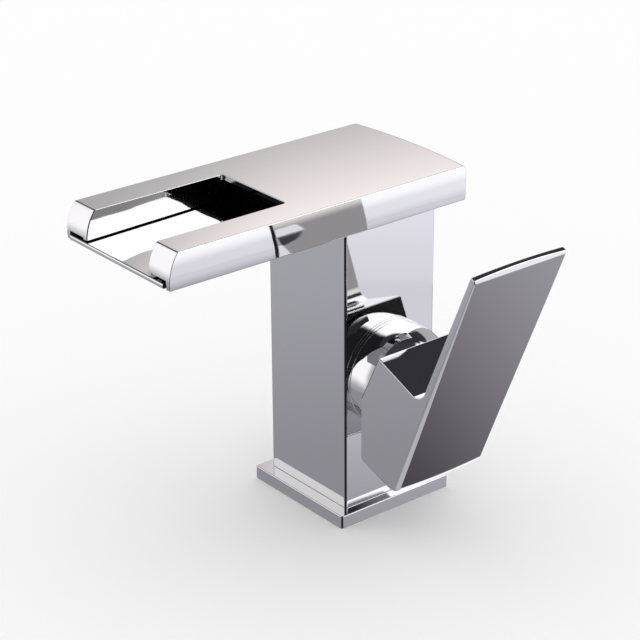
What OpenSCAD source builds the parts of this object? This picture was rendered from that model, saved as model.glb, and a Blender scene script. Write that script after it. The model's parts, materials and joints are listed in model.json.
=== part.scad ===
// Single-lever basin tap: a square column on a flange, a flat open-channel spout on top
// and a mixing cartridge lying on its side, worked by a V-shaped lever on the right.
// Origin: centre of the flange's underside. The spout points to -Y, the lever is on +X.

/* [Base flange] */
// Width and depth of the square flange under the column
flange_w = 55; // [52:0.5:62]
// Thickness of the flange
flange_h = 5.6; // [4.5:0.1:8]
// Width of the rubber ring under the flange
gasket_w = 2.4; // [1.6:0.1:2.6]
// Thickness of the rubber ring under the flange
gasket_h = 1.8; // [1:0.1:2.5]

/* [Column] */
// Width of the column, across the spout
col_w = 46.3; // [46:0.1:48]
// Depth of the column, along the spout
col_d = 44.4; // [44:0.1:46]
// Height of the column's top above the wash-basin's deck
col_top = 124; // [112:1:150]
// Wall of the column's tube
col_wall = 3; // [2.5:0.1:3.2]
// Top of the hollow foot, where the supply ports open
foot_top = 37; // [35:0.5:38]
// Thickness of the plate that closes the column's top
cap_plate = 4; // [3:0.25:6]
// Height of the cartridge's axis
axis_z = 58.5; // [58:0.25:60]

/* [Spout] */
// Width of the spout
deck_w = 64.2; // [60:0.2:70]
// Depth of the spout's body, top face to underside
deck_h = 13.9; // [13:0.1:18]
// Reach of the spout's nose from the column's axis
deck_reach = 107; // [95:1:130]
// Distance of the spout's rear corners from the column's axis
deck_back = 29.7; // [28:0.1:34]
// How far the middle of the rear face bows out beyond its corners
rear_bow = 2.3; // [1:0.1:4]
// Radius of the nose in side view
nose_r = 18.2; // [16:0.1:24]
// Height of the nose's foremost line above the underside
nose_lift = 2.5; // [1:0.1:4]
// Wall of the hollow spout
deck_wall = 2.1; // [1.6:0.1:2.6]
// Thickness of the spout's top plate
top_plate = 2; // [1.5:0.1:3]
// Thickness of the spout's floor over the column
deck_floor = 4; // [3:0.25:5]
// Width of the open water channel
slot_w = 38.2; // [34:0.2:40]
// Distance of the channel's rear edge from the column's axis
slot_back = 46.2; // [42:0.2:56]
// Radius of the channel's rear corners
slot_corner = 1.5; // [0.5:0.1:4]

/* [Water tray] */
// Thickness of the tray at its front lip
tray_t = 2; // [1.5:0.1:3]
// Rise of the tray's face from the lip to its rear end
tray_rise = 1.6; // [0.5:0.1:2]
// How far the lip stands out in front of the nose
lip_out = 0.8; // [0.3:0.1:2]
// Gap between the tray and the spout's side walls
tray_side_gap = 1; // [0.5:0.1:1.5]
// Distance of the tray's rear end from the column's axis
tray_back = 30.1; // [28:0.1:32]
// Height of the shadow slot over the tray in each prong's front
slit_h = 1.3; // [0.6:0.1:2]
// Gap between the channel's side walls and the tray
wall_gap = 0.4; // [0.2:0.05:0.8]

/* [Cartridge] */
// Diameter of the mixing cartridge
cart_d = 35; // [34.6:0.1:35.2]
// Wall of the cartridge's housing
cart_wall = 1.7; // [1.4:0.1:2]
// Diameter of the turning barrel in the housing's neck
barrel_d = 20; // [19:0.1:21]
// Wall of the housing's neck
neck_wall = 1.95; // [1.6:0.05:2.2]
// Thickness of the fixed ceramic disc
disc_t = 4; // [3:0.1:4.5]
// Diameter of the sliding ceramic disc
slide_disc_d = 25; // [24:0.1:25.4]
// Thickness of the sliding ceramic disc
slide_disc_t = 3.5; // [2.5:0.1:4]
// Distance from the lever's pivot to the ball that drives the discs
arm_len = 17; // [16.8:0.1:17.4]
// Lean of the spindle above level when the tap is shut
shut_lean = 8; // [6:0.5:8]
// Width of the square spindle
spindle_w = 8; // [7:0.1:8.2]
// Length of the spindle from the pivot to its outer end
spindle_len = 31; // [28:0.5:31.5]
// Diameter of the pivot pin
pin_d = 3; // [2.5:0.1:3.4]

/* [Bonnet] */
// Diameter of the domed bonnet
bonnet_d = 42; // [41.6:0.1:42.2]
// Wall of the dome
bonnet_wall = 1.6; // [1.2:0.1:1.8]
// Distance of the lever's pivot from the column's side face
pivot_out = 4.85; // [4.7:0.05:5]
// Diameter of the dome's mouth around the spindle
mouth_d = 26; // [24:0.5:28]
// Thickness of the seat ring behind the bonnet
seat_ring_t = 1.4; // [1:0.1:2]

/* [Lever handle] */
// Width of the handle
handle_w = 44.4; // [44.2:0.1:46]
// Lean of the lever's outer face from upright
lever_lean = 22.2; // [20:0.2:25]
// Length of the lever's outer face, from its foot line to its top edge
lever_len = 107.1; // [90:0.1:115]
// Thickness of the lever where it leaves the hub
lever_root_t = 3.8; // [3:0.1:5]
// Thickness of the lever at its top edge
lever_tip_t = 2.7; // [2:0.1:3.2]
// Arc of the lever's top edge over its width
tip_bow = 1.8; // [0.8:0.1:3]
// Arc of the handle's bottom edge over its width
foot_bow = 1.2; // [0.4:0.1:2]
// Running gap between the bonnet's dome and the handle's hollow
dome_gap = 0.6; // [0.4:0.05:0.7]

/* [Hidden] */
$fn = 96;

chrome = [0.80, 0.80, 0.83];
brass = [0.78, 0.63, 0.36];
rubber = [0.10, 0.10, 0.10];
ceramic = [0.93, 0.92, 0.88];
resin = [0.86, 0.87, 0.84];
dark_resin = [0.16, 0.16, 0.17];
steel = [0.62, 0.63, 0.65];

// Overrun of every cut past the face that it opens
cut = 0.5;
// Clearance of a turning or sliding fit
run_gap = 0.05;
// Clearance of parts that are put together by hand
slip_gap = 0.1;

// Base: the column's spigot stands in the flange's window
spigot_step = 1.4;
spigot_w = col_w - 2 * spigot_step;
spigot_d = col_d - 2 * spigot_step;
spigot_end = 0.6;
window_w = spigot_w + 2 * slip_gap;
window_d = spigot_d + 2 * slip_gap;
gasket_land = 1.1;
foot_w = col_w - 2 * col_wall;
foot_d = col_d - 2 * col_wall;

// Supply ports, fixing stud and the two long screws that hold the spout down
port_thread_r = 4.5;
port_thread_len = 9;
port_y = 7.4;
stud_r = 3.4;
stud_x = 10;
stud_boss_r = 7;
stud_boss_len = 12;
stud_hole_len = 13;
bolt_r = 2;
bolt_head_r = 3.5;
bolt_head_h = 4;
bolt_head_fit = 0.2;
bolt_inset_x = 6.95;
bolt_inset_y = 6.8;
bolt_x = bolt_inset_x - col_w / 2;
bolt_y = col_d / 2 - bolt_inset_y;
bolt_post_r = 4;
bolt_bite = 8;
bolt_key_r = 1.7;
bolt_key_depth = 2;

// Cartridge layout along +X, from the floor of its bore to the bonnet's mouth
face_x = col_w / 2;
pivot_x = face_x + pivot_out;
bore_r = cart_d / 2 + slip_gap;
cart_r = cart_d / 2 - slip_gap;
nut_thread_r = 18.4;
nut_thread_len = 7.1;
shoulder_x = face_x - nut_thread_len;
housing_in_r = cart_r - cart_wall;
thrust_t = 0.7;
rotor_flange_t = 3.3;
carrier_t = 3.8;
carrier_play = 0.3;
ball_r = 3.3;
ball_seat_floor = 2.15;
carrier_x = pivot_x - arm_len - ball_r - ball_seat_floor;
rotor_flange_x = carrier_x + carrier_t + carrier_play;
wall_in_x = rotor_flange_x + rotor_flange_t + 2 * run_gap + thrust_t;
slide_disc_x = carrier_x - slide_disc_t;
disc_x = slide_disc_x - disc_t;
base_plug_t = 2;
base_flange_t = 3;
cup_end_x = disc_x - base_plug_t;
floor_x = cup_end_x - base_flange_t;
barrel_r = barrel_d / 2;
neck_bore_r = barrel_r + run_gap;
neck_r = neck_bore_r + neck_wall;
neck_past_pin = 2;
barrel_past_neck = 1.5;
neck_end_x = pivot_x + pin_d / 2 + neck_past_pin;
barrel_end_x = neck_end_x + barrel_past_neck;

// Water ways: places are across the cartridge's axis, [y, z] from it
inlet_y = 8.6;
inlet_z = 5;
outlet_z = -7.5;
inlet_r = 3;
outlet_r = 4;
seal_wall = 1.4;
riser_r = 4.2;
riser_wall = 2.85;
riser_x = floor_x - riser_wall - riser_r;
feed_r = 3.2;
feed_wall = 2.05;
port_x = floor_x - feed_wall - feed_r;
peg_r = 1.5;
peg_len = 2.6;
peg_y = 13;
peg_z = -7;
PORTS = [[inlet_y, inlet_z, inlet_r], [-inlet_y, inlet_z, inlet_r], [0, outlet_z, outlet_r]];
mid_top = axis_z + nut_thread_r + col_wall;

// The moving discs stand low while the spindle leans up, with the tap shut
disc_drop = arm_len * sin(shut_lean);
carrier_r = 13;
key_w = 14;
key_h = 11;
key_t = 2.8;
ball_seat_play = 0.75;
ball_seat_depth = carrier_t + key_t - ball_seat_floor + ball_seat_play;
carrier_peg_r = 1.2;
carrier_peg_y = 10.3;
carrier_peg_len = 1.6;
mix_r = 8.8;
mix_drop = 3;
mix_depth = 1.8;
arm_w = 5;
slot_half_h = 6.2;
pivot_boss_r = 5;
pin_inset = 1;

// Bonnet and nut
bonnet_r = bonnet_d / 2;
nut_collar_r = 17.8;
nut_play = 0.3;
nut_collar_end = pivot_x - nut_play;
nut_slot_w = 5;
nut_slot_depth = 3;
dome_in_r = bonnet_r - bonnet_wall;
seat_ring_r = bonnet_r + slip_gap;
seat_ring_in_r = nut_collar_r + 2 * slip_gap;

// Spout: the water chamber's outlet and the tray's screws
deck_top = col_top + deck_h;
bow_r = (pow(deck_w / 2, 2) + pow(rear_bow, 2)) / (2 * rear_bow);
rear_y = deck_back + rear_bow;
room_w = deck_w - 2 * deck_wall;
room_top = deck_top - top_plate;
tray_w = room_w - 2 * tray_side_gap;
tray_lift_share = 0.2;
tray_under = col_top + tray_lift_share * tray_t;
tray_front = -deck_reach - lip_out;
tray_slope = tray_rise / (-tray_back - tray_front);
lip_round_share = 0.35;
lip_round = lip_round_share * tray_t;
slit_depth = 4;
nipple_r = 8;
nipple_bore_r = 6.5;
nipple_stand = 5.5;
o_ring_cord = 2;
tray_screw_r = 1.5;
tray_screw_head_r = 2.8;
tray_screw_len = 7.5;
tray_boss_r = 3;
tray_screw_inset = 4.4;
tray_screw_front = 15.5;
tray_screw_past_slot = 3;
tray_screw_rows = [tray_screw_front, deck_reach - slot_back + tray_screw_past_slot];
straightener_t = 4;
straightener_y = -37;
straightener_holes = 11;
straightener_hole_share = 0.62;
straightener_rim = 1.4;
seal_t = 1;
floor_front = tray_back - seal_t - slip_gap;

// Handle: the outline is set out from the pivot, across and up
hub_face_out = 4.4;
shoulder_down = 1.7;
ridge_out = 14.6;
ridge_up = 18.9;
notch_out = 34.4;
notch_up = 10.6;
foot_out = 25.5;
foot_down = 32.1;
foot_drop = 3.1;
foot_end = foot_drop + foot_bow;
blend_len = 50;
blend_pull_out = 39.6;
blend_pull_up = 10.4;
blend_steps = 6;
set_screw_r = 2.5;
set_screw_len = 8;
set_screw_back = 4;
plug_r = 3.5;
plug_t = 3;
plug_stand = 0.4;

function tray_z(y) = tray_under + tray_t + (y - tray_front) * tray_slope;
function bezier(a, b, c, t) = (1 - t) * (1 - t) * a + 2 * t * (1 - t) * b + t * t * c;
// A point of the handle's outline: s along the lever from its foot, o outwards from its outer face
function on_lever(s, o) = [
    foot_out + s * sin(lever_lean) + o * cos(lever_lean),
    -foot_down + s * cos(lever_lean) - o * sin(lever_lean)
];
// Where the handle's bottom face meets its near face
function foot_near_o() = (hub_face_out - foot_out + foot_end * sin(lever_lean)) / cos(lever_lean);

module box(lo, hi) {
    translate(lo) cube(hi - lo);
}

// Carries a cylinder drawn along +Z to lie along +X on the cartridge's axis
module on_axis(x, y = 0, z = 0) {
    translate([x, y, axis_z + z]) rotate([0, 90, 0]) children();
}

// Carries parts drawn round the pivot, with the spindle along +X, to the shut position
module shut() {
    translate([pivot_x, 0, axis_z]) rotate([0, -shut_lean, 0]) children();
}

module across(r, half) {
    rotate([90, 0, 0]) cylinder(r = r, h = 2 * half, center = true);
}

module both_sides() {
    children();
    mirror([0, 1, 0]) children();
}

module both_flanks() {
    children();
    mirror([1, 0, 0]) children();
}

// A plate with its middle on the Z axis
module plate(w, d, z0, z1) {
    box([-w / 2, -d / 2, z0], [w / 2, d / 2, z1]);
}

module base_flange() {
    color(chrome)
    difference() {
        plate(flange_w, flange_w, 0, flange_h);
        plate(window_w, window_d, -cut, flange_h + cut);
        difference() {
            plate(window_w + 2 * (gasket_land + gasket_w), window_d + 2 * (gasket_land + gasket_w),
                  -cut, gasket_h);
            plate(window_w + 2 * gasket_land, window_d + 2 * gasket_land, -2 * cut, gasket_h + cut);
        }
    }
}

module base_gasket() {
    out_w = gasket_land + gasket_w - slip_gap;
    in_w = gasket_land + slip_gap;
    color(rubber)
    difference() {
        plate(window_w + 2 * out_w, window_d + 2 * out_w, 0, gasket_h);
        plate(window_w + 2 * in_w, window_d + 2 * in_w, -cut, gasket_h + cut);
    }
}

module column_blank() {
    plate(col_w, col_d, flange_h, col_top);
    plate(spigot_w, spigot_d, spigot_end, flange_h + cut);
}

// Every hole that runs through the valve block, the tube's wall or the column's cap
module column_drillings() {
    // Stud and supply ports, from below
    translate([stud_x, 0, foot_top - stud_boss_len - cut])
        cylinder(r = stud_r, h = stud_hole_len + cut);
    both_sides() {
        translate([port_x, port_y, foot_top - cut])
            cylinder(r = port_thread_r, h = port_thread_len + cut);
        translate([port_x, inlet_y, foot_top + port_thread_len - cut])
            cylinder(r = feed_r, h = axis_z + inlet_z + inlet_r - foot_top - port_thread_len + cut);
        on_axis(port_x, inlet_y, inlet_z)
            cylinder(r = inlet_r, h = floor_x - port_x + cut);
        translate([bolt_x, bolt_y, foot_top - cut]) {
            cylinder(r = bolt_r + bolt_head_fit, h = col_top - foot_top + 2 * cut);
            cylinder(r = bolt_head_r + bolt_head_fit, h = bolt_head_h + bolt_head_fit + cut);
        }
        on_axis(floor_x - peg_len - slip_gap, peg_y, peg_z)
            cylinder(r = peg_r + slip_gap, h = peg_len + slip_gap + cut, $fn = 32);
    }
    // Mixed water: out of the cartridge, up the riser and out of the top
    on_axis(riser_x, 0, outlet_z)
        cylinder(r = outlet_r, h = floor_x - riser_x + cut);
    translate([riser_x, 0, axis_z + outlet_z - outlet_r])
        cylinder(r = riser_r, h = mid_top - axis_z - outlet_z + outlet_r + cut);
    translate([0, 0, col_top - cap_plate - cut])
        cylinder(r = nipple_r, h = cap_plate + 2 * cut);
    // Cartridge
    on_axis(floor_x)
        cylinder(r = bore_r, h = face_x - floor_x + cut);
    on_axis(shoulder_x)
        cylinder(r = nut_thread_r, h = nut_thread_len + cut);
}

// A square tube with a cap, standing on its spigot
module column_body() {
    color(chrome)
    difference() {
        column_blank();
        plate(foot_w, foot_d, -cut, col_top - cap_plate);
        column_drillings();
    }
}

// The block brazed into the tube: it holds the cartridge, and parts the foot from the water chamber
module valve_body() {
    color(brass)
    difference() {
        union() {
            plate(foot_w, foot_d, foot_top, mid_top);
            translate([stud_x, 0, foot_top - stud_boss_len])
                cylinder(r = stud_boss_r, h = stud_boss_len + cut);
            intersection() {
                plate(foot_w, foot_d, foot_top, col_top - cap_plate);
                both_sides()
                    translate([bolt_x, bolt_y, mid_top - cut])
                        cylinder(r = bolt_post_r, h = col_top - mid_top);
            }
        }
        column_drillings();
    }
}

// The spout's outer form, drawn in by t on the sides, nose and rear
module deck_form(t, z0, z1) {
    intersection() {
        box([-deck_w / 2 + t, -deck_reach + t, z0], [deck_w / 2 - t, rear_y - t, z1]);
        translate([0, rear_y - bow_r, z0 - cut])
            cylinder(r = bow_r - t, h = z1 - z0 + 2 * cut, $fn = 720);
        union() {
            translate([0, -deck_reach + nose_r, col_top + nose_lift])
                rotate([0, 90, 0]) cylinder(r = nose_r - t, h = deck_w + cut, center = true);
            box([-deck_w / 2 - cut, -deck_reach + nose_r, z0 - cut],
                [deck_w / 2 + cut, rear_y + cut, z1 + cut]);
        }
    }
}

module slot_cutter() {
    box([-slot_w / 2, -deck_reach - cut, col_top - cut],
        [slot_w / 2, -slot_back - slot_corner, deck_top + cut]);
    box([-slot_w / 2 + slot_corner, -slot_back - slot_corner - cut, col_top - cut],
        [slot_w / 2 - slot_corner, -slot_back, deck_top + cut]);
    both_flanks()
        translate([slot_w / 2 - slot_corner, -slot_back - slot_corner, col_top - cut])
            cylinder(r = slot_corner, h = deck_h + 2 * cut, $fn = 32);
}

// Everything up to a height above the tray's sloping face, over the tray's length
module under_tray_face(lift) {
    y0 = tray_front - cut;
    translate([-deck_w / 2, 0, 0]) rotate([90, 0, 90]) linear_extrude(deck_w)
        polygon([
            [y0, col_top - cut], [y0, tray_z(y0) + lift],
            [-tray_back, tray_z(-tray_back) + lift], [-tray_back, col_top - cut]
        ]);
}

// The channel's two side walls, which stop short of the tray
module slot_walls() {
    both_flanks()
        difference() {
            intersection() {
                deck_form(0, col_top, deck_top);
                box([slot_w / 2, -deck_reach - cut, col_top],
                    [slot_w / 2 + deck_wall, -slot_back, deck_top]);
            }
            under_tray_face(wall_gap);
        }
}

module tray_screw_places() {
    for (row = tray_screw_rows)
        both_flanks()
            translate([room_w / 2 - tray_screw_inset, -deck_reach + row, 0]) children();
}

module tray_bosses() {
    difference() {
        tray_screw_places()
            translate([0, 0, col_top + cut]) cylinder(r = tray_boss_r, h = room_top - col_top, $fn = 48);
        under_tray_face(slip_gap);
    }
}

module deck_shell() {
    color(chrome)
    difference() {
        union() {
            difference() {
                deck_form(0, col_top, deck_top);
                deck_form(deck_wall, col_top - 2 * cut, room_top);
                slot_cutter();
                // The lip passes under the prongs' fronts
                both_flanks()
                    box([slot_w / 2 - cut, -deck_reach - cut, col_top - cut],
                        [room_w / 2, -deck_reach + slit_depth, tray_z(tray_front) + slit_h]);
            }
            slot_walls();
            tray_bosses();
            intersection() {
                deck_form(deck_wall / 2, col_top, col_top + deck_floor);
                box([-deck_w / 2, -floor_front, col_top], [deck_w / 2, rear_y, col_top + deck_floor]);
            }
            both_sides()
                translate([bolt_x, bolt_y, col_top + deck_floor - cut])
                    cylinder(r = bolt_post_r, h = bolt_bite - deck_floor + 2 * cut);
        }
        tray_screw_places()
            translate([0, 0, col_top])
                cylinder(r = tray_screw_r + run_gap, h = tray_under - col_top + tray_screw_len + cut,
                    $fn = 32);
        both_sides()
            translate([bolt_x, bolt_y, col_top - cut])
                cylinder(r = bolt_r + run_gap, h = bolt_bite + cut, $fn = 48);
        translate([0, 0, col_top - cut])
            cylinder(r = nipple_r + slip_gap, h = deck_floor + 2 * cut);
        translate([0, 0, col_top - cut])
            cylinder(r = nipple_r + o_ring_cord + 2 * slip_gap, h = o_ring_cord + slip_gap + cut);
    }
}

// Side view of the tray: rounded lip in front, face rising to the rear
module tray_profile() {
    top = tray_z(tray_front + lip_round);
    polygon(concat(
        [[-tray_back, tray_under], [-tray_back, tray_z(-tray_back)]],
        [for (a = [0:15:90])
            [tray_front + lip_round * (1 - sin(a)), top - lip_round * (1 - cos(a))]],
        [for (a = [0:15:90])
            [tray_front + lip_round * (1 - cos(a)), tray_under + lip_round * (1 - sin(a))]]
    ));
}

module spout_tray() {
    color(chrome)
    difference() {
        translate([-tray_w / 2, 0, 0]) rotate([90, 0, 90]) linear_extrude(tray_w) tray_profile();
        tray_screw_places()
            translate([0, 0, tray_under - cut]) {
                cylinder(r = tray_screw_r + slip_gap, h = tray_t + tray_rise + 2 * cut, $fn = 32);
                cylinder(r1 = tray_screw_head_r + cut, r2 = 0, h = tray_screw_head_r + cut, $fn = 48);
            }
    }
}

module tray_screws() {
    head_h = tray_screw_head_r - tray_screw_r;
    color(steel)
    tray_screw_places()
        translate([0, 0, tray_under])
            difference() {
                union() {
                    cylinder(r = tray_screw_r, h = tray_screw_len - slip_gap, $fn = 32);
                    cylinder(r1 = tray_screw_head_r - slip_gap, r2 = tray_screw_r, h = head_h - slip_gap,
                        $fn = 48);
                }
                translate([0, 0, -cut])
                    cylinder(r = tray_screw_r / 2, h = cut + head_h / 2, $fn = 6);
            }
}

module tray_seal() {
    color(rubber)
    box([-tray_w / 2, -tray_back, tray_under],
        [tray_w / 2, -tray_back + seal_t, tray_z(-tray_back)]);
}

// A comb that spreads the water: teeth on a rail
module flow_straightener() {
    z0 = tray_z(straightener_y + straightener_t) + slip_gap;
    z1 = room_top - slip_gap;
    w = room_w - 2 * slip_gap;
    pitch = (w - 2 * straightener_rim) / straightener_holes;
    hole = pitch * straightener_hole_share;
    color(dark_resin)
    difference() {
        box([-w / 2, straightener_y, z0], [w / 2, straightener_y + straightener_t, z1]);
        for (i = [0:straightener_holes - 1])
            translate([-w / 2 + straightener_rim + (i + 1 / 2) * pitch, straightener_y - cut, 0])
                box([-hole / 2, 0, z0 + straightener_rim], [hole / 2, straightener_t + 2 * cut, z1 + cut]);
    }
}

module outlet_nipple() {
    color(brass)
    translate([0, 0, col_top - cap_plate])
        difference() {
            cylinder(r = nipple_r, h = cap_plate + nipple_stand);
            translate([0, 0, -cut]) cylinder(r = nipple_bore_r, h = cap_plate + nipple_stand + 2 * cut);
        }
}

module nipple_o_ring() {
    color(rubber)
    translate([0, 0, col_top + o_ring_cord / 2])
        rotate_extrude()
            translate([nipple_r + slip_gap + o_ring_cord / 2, 0]) circle(d = o_ring_cord, $fn = 32);
}

module tie_bolts() {
    color(steel)
    both_sides()
        translate([bolt_x, bolt_y, foot_top + bolt_head_fit])
            difference() {
                union() {
                    cylinder(r = bolt_head_r, h = bolt_head_h);
                    cylinder(r = bolt_r, h = col_top + bolt_bite - foot_top - 2 * bolt_head_fit, $fn = 48);
                }
                translate([0, 0, -cut]) cylinder(r = bolt_key_r, h = bolt_key_depth + cut, $fn = 6);
            }
}

module cartridge_housing() {
    color(resin)
    difference() {
        union() {
            on_axis(cup_end_x) cylinder(r = cart_r, h = shoulder_x - cup_end_x);
            on_axis(shoulder_x - cut) cylinder(r = neck_r, h = neck_end_x - shoulder_x + cut);
        }
        on_axis(cup_end_x - cut) cylinder(r = housing_in_r, h = wall_in_x - cup_end_x + cut);
        on_axis(wall_in_x - cut) cylinder(r = neck_bore_r, h = neck_end_x - wall_in_x + 2 * cut);
    }
}

module cartridge_base() {
    color(resin)
    difference() {
        union() {
            on_axis(floor_x) cylinder(r = cart_r, h = base_flange_t);
            on_axis(floor_x) cylinder(r = housing_in_r - slip_gap, h = base_flange_t + base_plug_t);
            both_sides()
                on_axis(floor_x - peg_len, peg_y, peg_z)
                    cylinder(r = peg_r, h = peg_len + cut, $fn = 32);
        }
        for (p = PORTS)
            on_axis(floor_x - cut, p[0], p[1])
                cylinder(r = p[2] + seal_wall + slip_gap, h = base_flange_t + base_plug_t + 2 * cut);
    }
}

module port_seals() {
    color(rubber)
    for (p = PORTS)
        on_axis(floor_x, p[0], p[1])
            difference() {
                cylinder(r = p[2] + seal_wall, h = base_flange_t + base_plug_t);
                translate([0, 0, -cut]) cylinder(r = p[2], h = base_flange_t + base_plug_t + 2 * cut);
            }
}

module fixed_disc() {
    color(ceramic)
    difference() {
        on_axis(disc_x) cylinder(r = housing_in_r - 2 * slip_gap, h = disc_t);
        for (p = PORTS)
            on_axis(disc_x - cut, p[0], p[1]) cylinder(r = p[2], h = disc_t + 2 * cut);
    }
}

module sliding_disc() {
    color(ceramic)
    difference() {
        on_axis(slide_disc_x, 0, -disc_drop) cylinder(r = slide_disc_d / 2, h = slide_disc_t);
        on_axis(slide_disc_x - cut, 0, -disc_drop - mix_drop) cylinder(r = mix_r, h = mix_depth + cut);
        both_sides()
            on_axis(carrier_x - carrier_peg_len - slip_gap, carrier_peg_y, -disc_drop)
                cylinder(r = carrier_peg_r + slip_gap, h = carrier_peg_len + slip_gap + cut, $fn = 32);
    }
}

module disc_carrier() {
    color(dark_resin)
    difference() {
        union() {
            on_axis(carrier_x, 0, -disc_drop) cylinder(r = carrier_r, h = carrier_t);
            translate([carrier_x + carrier_t, 0, axis_z - disc_drop])
                box([-cut, -key_w / 2, -key_h / 2], [key_t, key_w / 2, key_h / 2]);
            both_sides()
                on_axis(carrier_x - carrier_peg_len, carrier_peg_y, -disc_drop)
                    cylinder(r = carrier_peg_r, h = carrier_peg_len + cut, $fn = 32);
        }
        translate([carrier_x + carrier_t + key_t, 0, axis_z - disc_drop])
            box([-ball_seat_depth, -ball_r - carrier_play, -ball_r - 2 * run_gap],
                [cut, ball_r + carrier_play, ball_r + 2 * run_gap]);
    }
}

module rotor() {
    key_room = key_h / 2 + disc_drop + carrier_play;
    color(resin)
    difference() {
        union() {
            on_axis(rotor_flange_x) cylinder(r = housing_in_r - carrier_play, h = rotor_flange_t);
            on_axis(rotor_flange_x) cylinder(r = barrel_r, h = barrel_end_x - rotor_flange_x);
        }
        translate([rotor_flange_x, 0, axis_z])
            box([-cut, -key_w / 2 - slip_gap, -key_room], [key_t, key_w / 2 + slip_gap, key_room]);
        translate([rotor_flange_x, 0, axis_z])
            box([-cut, -spindle_w / 2 - slip_gap, -slot_half_h],
                [barrel_end_x - rotor_flange_x + cut, spindle_w / 2 + slip_gap, slot_half_h]);
        translate([pivot_x, 0, axis_z]) across(pin_d / 2, barrel_r + cut);
    }
}

module thrust_ring() {
    color(dark_resin)
    on_axis(wall_in_x - thrust_t - run_gap)
        difference() {
            cylinder(r = housing_in_r - carrier_play, h = thrust_t);
            translate([0, 0, -cut]) cylinder(r = barrel_r + slip_gap, h = thrust_t + 2 * cut);
        }
}

module pivot_pin() {
    color(steel)
    translate([pivot_x, 0, axis_z]) across(pin_d / 2, barrel_r - pin_inset);
}

module spindle() {
    side = spindle_w / 2;
    color(brass)
    shut()
        difference() {
            union() {
                box([0, -side, -side], [spindle_len, side, side]);
                box([-arm_len, -side + slip_gap, -arm_w / 2 + slip_gap],
                    [0, side - slip_gap, arm_w / 2 - slip_gap]);
                across(pivot_boss_r, side);
                translate([-arm_len, 0, 0]) across(ball_r, ball_r);
            }
            across(pin_d / 2 + run_gap, side + cut);
            translate([-arm_len, 0, 0])
                both_sides()
                    box([-ball_r - cut, ball_r, -arm_w], [ball_r, side + cut, arm_w]);
        }
}

module retaining_nut() {
    color(brass)
    difference() {
        union() {
            on_axis(shoulder_x) cylinder(r = nut_thread_r - slip_gap, h = nut_thread_len);
            on_axis(shoulder_x) cylinder(r = nut_collar_r, h = nut_collar_end - shoulder_x);
        }
        on_axis(shoulder_x - cut) cylinder(r = neck_r + slip_gap, h = nut_collar_end - shoulder_x + 2 * cut);
        for (turn = [0, 90])
            translate([nut_collar_end, 0, axis_z]) rotate([turn, 0, 0])
                box([-nut_slot_depth, -nut_collar_r - cut, -nut_slot_w / 2],
                    [cut, nut_collar_r + cut, nut_slot_w / 2]);
    }
}

module bonnet_seat_ring() {
    color(chrome)
    on_axis(face_x)
        difference() {
            cylinder(r = seat_ring_r, h = seat_ring_t);
            translate([0, 0, -cut]) cylinder(r = seat_ring_in_r, h = seat_ring_t + 2 * cut);
        }
}

// A ball about the pivot as a turned piece, so that its surface stays true
module pivot_ball(r) {
    on_axis(pivot_x)
        rotate_extrude()
            intersection() {
                circle(r = r, $fn = 180);
                translate([0, -2 * r]) square([2 * r, 4 * r]);
            }
}

module bonnet() {
    back_x = face_x + seat_ring_t;
    color(chrome)
    difference() {
        union() {
            on_axis(back_x) cylinder(r = bonnet_r, h = pivot_x - back_x);
            intersection() {
                pivot_ball(bonnet_r);
                on_axis(pivot_x - cut / 2) cylinder(r = 2 * bonnet_r, h = 2 * bonnet_r);
            }
        }
        on_axis(back_x - cut) cylinder(r = nut_collar_r + slip_gap, h = pivot_x - back_x + 2 * cut);
        intersection() {
            pivot_ball(dome_in_r);
            on_axis(pivot_x) cylinder(r = 2 * bonnet_r, h = 2 * bonnet_r);
        }
        on_axis(pivot_x) cylinder(r = mouth_d / 2, h = 2 * bonnet_r);
    }
}

module handle_profile() {
    near_foot = on_lever(-foot_end, foot_near_o());
    blend_end = on_lever(blend_len, -lever_root_t);
    notch = [notch_out, notch_up];
    pull = [blend_pull_out, blend_pull_up];
    polygon(concat(
        [near_foot, on_lever(-foot_end, 0), on_lever(lever_len, 0), on_lever(lever_len, -lever_tip_t)],
        [for (i = [0:blend_steps]) bezier(blend_end, pull, notch, i / blend_steps)],
        [[ridge_out, ridge_up], [hub_face_out, -shoulder_down]]
    ));
}

// Rounds the handle's ends across its width: a wide drum square to the lever's outer face
module end_drum(bow, middle, side) {
    r = (pow(handle_w / 2, 2) + pow(bow, 2)) / (2 * bow);
    at = on_lever(middle - side * r, 0);
    translate([at[0], 0, at[1]]) rotate([0, 90 + lever_lean, 0])
        cylinder(r = r, h = 4 * foot_out, center = true, $fn = 720);
}

module handle() {
    color(chrome)
    difference() {
        translate([pivot_x, 0, axis_z])
            intersection() {
                translate([0, handle_w / 2, 0]) rotate([90, 0, 0])
                    linear_extrude(handle_w) handle_profile();
                end_drum(tip_bow, lever_len, 1);
                end_drum(foot_bow, -foot_end, -1);
            }
        pivot_ball(bonnet_r + dome_gap);
        shut()
            box([0, -spindle_w / 2 - slip_gap, -spindle_w / 2 - slip_gap],
                [spindle_len + slip_gap, spindle_w / 2 + slip_gap, spindle_w / 2 + slip_gap]);
        shut()
            translate([spindle_len - set_screw_back, 0, 0]) rotate([-90, 0, 0]) {
                cylinder(r = set_screw_r + run_gap, h = handle_w, $fn = 48);
                translate([0, 0, handle_w / 2 - plug_t])
                    cylinder(r = plug_r + run_gap, h = plug_t + cut, $fn = 48);
            }
    }
}

module set_screw() {
    color(steel)
    shut()
        translate([spindle_len - set_screw_back, spindle_w / 2 + run_gap, 0]) rotate([-90, 0, 0])
            difference() {
                cylinder(r = set_screw_r, h = set_screw_len, $fn = 48);
                translate([0, 0, set_screw_len / 2])
                    cylinder(r = set_screw_r / 2, h = set_screw_len, $fn = 6);
            }
}

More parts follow.
